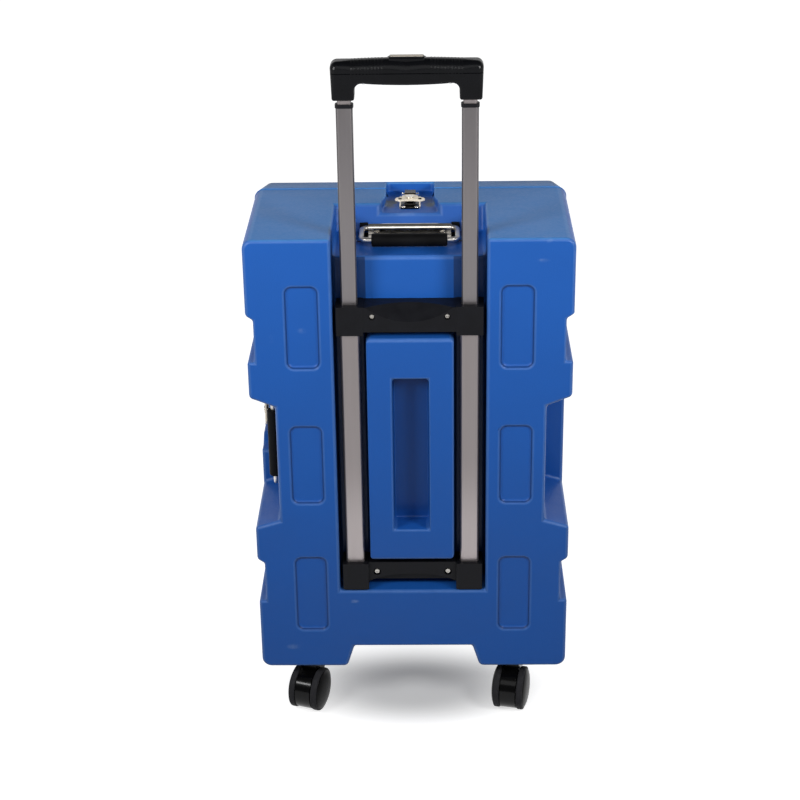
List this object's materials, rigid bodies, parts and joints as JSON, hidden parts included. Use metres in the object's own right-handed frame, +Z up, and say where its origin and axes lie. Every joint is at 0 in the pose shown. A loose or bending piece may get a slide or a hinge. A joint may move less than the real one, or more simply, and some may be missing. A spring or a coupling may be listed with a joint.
{
  "type": "wheeled transport case",
  "caption": "Upright moulded transport case on swivelling twin castors, with a telescopic trolley handle, side-hinged lid, butterfly catches and sprung carry handles.",
  "frame": {"origin": "on the floor under the middle of the bounding box", "axes": "+Z up, -Y out of the trolley face, +Y out of the lid, +X towards the hinged side (right, seen from the trolley face)"},
  "size_m": [0.4595, 0.2782, 0.9975],
  "materials": {
    "shell_blue": "rotomoulded, lightly textured",
    "gasket_rubber": "matt",
    "nickel": "bright plated",
    "bracket_plastic": "satin moulded",
    "grip_plastic": "soft matt",
    "handle_rubber": "matt",
    "tube_champagne": "anodised",
    "tube_pewter": "anodised",
    "button_grey": "satin",
    "castor_gloss": "glossy",
    "tread_rubber": "matt",
    "steel": "zinc plated"
  },
  "bodies": {
    "case": {"body_shell": "shell_blue", "hinge_leaves_body": "nickel", "hinge_pins": "nickel", "rivets_body": "nickel", "catch_base_top": "nickel", "catch_base_side": "nickel", "handle_plate_top": "nickel", "handle_plate_side": "nickel", "handle_springs": "steel", "bracket_upper": "bracket_plastic", "bracket_lower": "bracket_plastic", "bracket_screws": "steel", "outer_tube_left": "tube_champagne", "outer_tube_right": "tube_champagne", "castor_plates": "steel", "castor_screws": "steel"},
    "lid": {"lid_shell": "shell_blue", "lid_gasket": "gasket_rubber", "hinge_leaves_lid": "nickel", "rivets_lid": "nickel", "catch_strike_top": "nickel", "catch_strike_side": "nickel"},
    "wing_top": {"catch_wing_top": "nickel"},
    "hook_top": {"catch_hook_top": "nickel"},
    "wing_side": {"catch_wing_side": "nickel"},
    "hook_side": {"catch_hook_side": "nickel"},
    "carry_handle_top": {"handle_bail_top": "nickel", "handle_grip_top": "handle_rubber"},
    "carry_handle_side": {"handle_bail_side": "nickel", "handle_grip_side": "handle_rubber"},
    "middle_stage": {"middle_tube_left": "tube_pewter", "middle_tube_right": "tube_pewter", "middle_collars": "bracket_plastic", "middle_glides": "bracket_plastic"},
    "inner_stage": {"inner_tube_left": "tube_champagne", "inner_tube_right": "tube_champagne", "tube_plugs": "bracket_plastic", "grip_upper": "grip_plastic", "grip_lower": "grip_plastic", "grip_screws": "steel", "button_springs": "steel"},
    "release": {"release_button": "button_grey", "release_linkage": "bracket_plastic"},
    "bolts": {"lock_bolts": "steel"},
    "castor_back_left": {"hood_back_left": "castor_gloss", "axle_back_left": "steel"},
    "wheel_back_left_a": {"wheel_back_left_a": "tread_rubber"},
    "wheel_back_left_b": {"wheel_back_left_b": "tread_rubber"},
    "castor_back_right": {"hood_back_right": "castor_gloss", "axle_back_right": "steel"},
    "wheel_back_right_a": {"wheel_back_right_a": "tread_rubber"},
    "wheel_back_right_b": {"wheel_back_right_b": "tread_rubber"},
    "castor_front_left": {"hood_front_left": "castor_gloss", "axle_front_left": "steel"},
    "wheel_front_left_a": {"wheel_front_left_a": "tread_rubber"},
    "wheel_front_left_b": {"wheel_front_left_b": "tread_rubber"},
    "castor_front_right": {"hood_front_right": "castor_gloss", "axle_front_right": "steel"},
    "wheel_front_right_a": {"wheel_front_right_a": "tread_rubber"},
    "wheel_front_right_b": {"wheel_front_right_b": "tread_rubber"}
  },
  "joints": [
    {"name": "lid_hinge", "type": "hinge", "parent": "case", "child": "lid", "pos_m": [0.23, 0.09725, 0.4165], "axis": [0, 0, -1], "range_deg": [0, 170]},
    {"name": "wing_top_turn", "type": "hinge", "parent": "case", "child": "wing_top", "pos_m": [0, 0.06725, 0.739], "axis": [0, 0, 1], "range_deg": [0, 180]},
    {"name": "hook_top_slide", "type": "slide", "parent": "case", "child": "hook_top", "axis": [0, 1, 0], "range_m": [0, 0.005]},
    {"name": "wing_side_turn", "type": "hinge", "parent": "case", "child": "wing_side", "pos_m": [-0.212, 0.06725, 0.4155], "axis": [-1, 0, 0], "range_deg": [0, 180]},
    {"name": "hook_side_slide", "type": "slide", "parent": "case", "child": "hook_side", "axis": [0, 1, 0], "range_m": [0, 0.005]},
    {"name": "carry_handle_top_fold", "type": "hinge", "parent": "case", "child": "carry_handle_top", "pos_m": [0, 0.00425, 0.7243], "axis": [-1, 0, 0], "range_deg": [0, 90], "stiffness_Nm_per_rad": 0.15},
    {"name": "carry_handle_side_fold", "type": "hinge", "parent": "case", "child": "carry_handle_side", "pos_m": [-0.1993, 0.00425, 0.4155], "axis": [0, 0, -1], "range_deg": [0, 90], "stiffness_Nm_per_rad": 0.15},
    {"name": "middle_stage_slide", "type": "slide", "parent": "case", "child": "middle_stage", "axis": [0, 0, 1], "range_m": [-0.2745, 0]},
    {"name": "inner_stage_slide", "type": "slide", "parent": "middle_stage", "child": "inner_stage", "axis": [0, 0, 1], "range_m": [0, 0.2745]},
    {"name": "button_press", "type": "slide", "parent": "inner_stage", "child": "release", "axis": [0, 0, -1], "range_m": [0, 0.004], "stiffness_N_per_m": 1500, "deforming": ["button_springs"]},
    {"name": "lock_bolt_draw", "type": "slide", "parent": "inner_stage", "child": "bolts", "axis": [0, -1, 0], "range_m": [0, 0.0025]},
    {"name": "castor_back_left_swivel", "type": "hinge", "parent": "case", "child": "castor_back_left", "pos_m": [-0.1505, -0.08375, 0.081], "axis": [0, 0, 1], "continuous": true},
    {"name": "wheel_back_left_a_spin", "type": "hinge", "parent": "castor_back_left", "child": "wheel_back_left_a", "pos_m": [-0.15734, -0.10361, 0.0325], "axis": [0.9455, -0.3256, 0], "continuous": true},
    {"name": "wheel_back_left_b_spin", "type": "hinge", "parent": "castor_back_left", "child": "wheel_back_left_b", "pos_m": [-0.15734, -0.10361, 0.0325], "axis": [0.9455, -0.3256, 0], "continuous": true},
    {"name": "castor_back_right_swivel", "type": "hinge", "parent": "case", "child": "castor_back_right", "pos_m": [0.1505, -0.08375, 0.081], "axis": [0, 0, 1], "continuous": true},
    {"name": "wheel_back_right_a_spin", "type": "hinge", "parent": "castor_back_right", "child": "wheel_back_right_a", "pos_m": [0.14578, -0.10421, 0.0325], "axis": [0.9744, -0.225, 0], "continuous": true},
    {"name": "wheel_back_right_b_spin", "type": "hinge", "parent": "castor_back_right", "child": "wheel_back_right_b", "pos_m": [0.14578, -0.10421, 0.0325], "axis": [0.9744, -0.225, 0], "continuous": true},
    {"name": "castor_front_left_swivel", "type": "hinge", "parent": "case", "child": "castor_front_left", "pos_m": [-0.1505, 0.05725, 0.081], "axis": [0, 0, 1], "continuous": true},
    {"name": "wheel_front_left_a_spin", "type": "hinge", "parent": "castor_front_left", "child": "wheel_front_left_a", "pos_m": [-0.15699, 0.03728, 0.0325], "axis": [0.9511, -0.309, 0], "continuous": true},
    {"name": "wheel_front_left_b_spin", "type": "hinge", "parent": "castor_front_left", "child": "wheel_front_left_b", "pos_m": [-0.15699, 0.03728, 0.0325], "axis": [0.9511, -0.309, 0], "continuous": true},
    {"name": "castor_front_right_swivel", "type": "hinge", "parent": "case", "child": "castor_front_right", "pos_m": [0.1505, 0.05725, 0.081], "axis": [0, 0, 1], "continuous": true},
    {"name": "wheel_front_right_a_spin", "type": "hinge", "parent": "castor_front_right", "child": "wheel_front_right_a", "pos_m": [0.14542, 0.03687, 0.0325], "axis": [0.9703, -0.2419, 0], "continuous": true},
    {"name": "wheel_front_right_b_spin", "type": "hinge", "parent": "castor_front_right", "child": "wheel_front_right_b", "pos_m": [0.14542, 0.03687, 0.0325], "axis": [0.9703, -0.2419, 0], "continuous": true}
  ],
  "couplings": [
    {"joint": "wing_top_turn", "follows": "hook_top_slide", "rad_per_m": 628.32},
    {"joint": "wing_side_turn", "follows": "hook_side_slide", "rad_per_m": 628.32},
    {"joint": "lock_bolt_draw", "follows": "button_press", "ratio": 0.625}
  ]
}
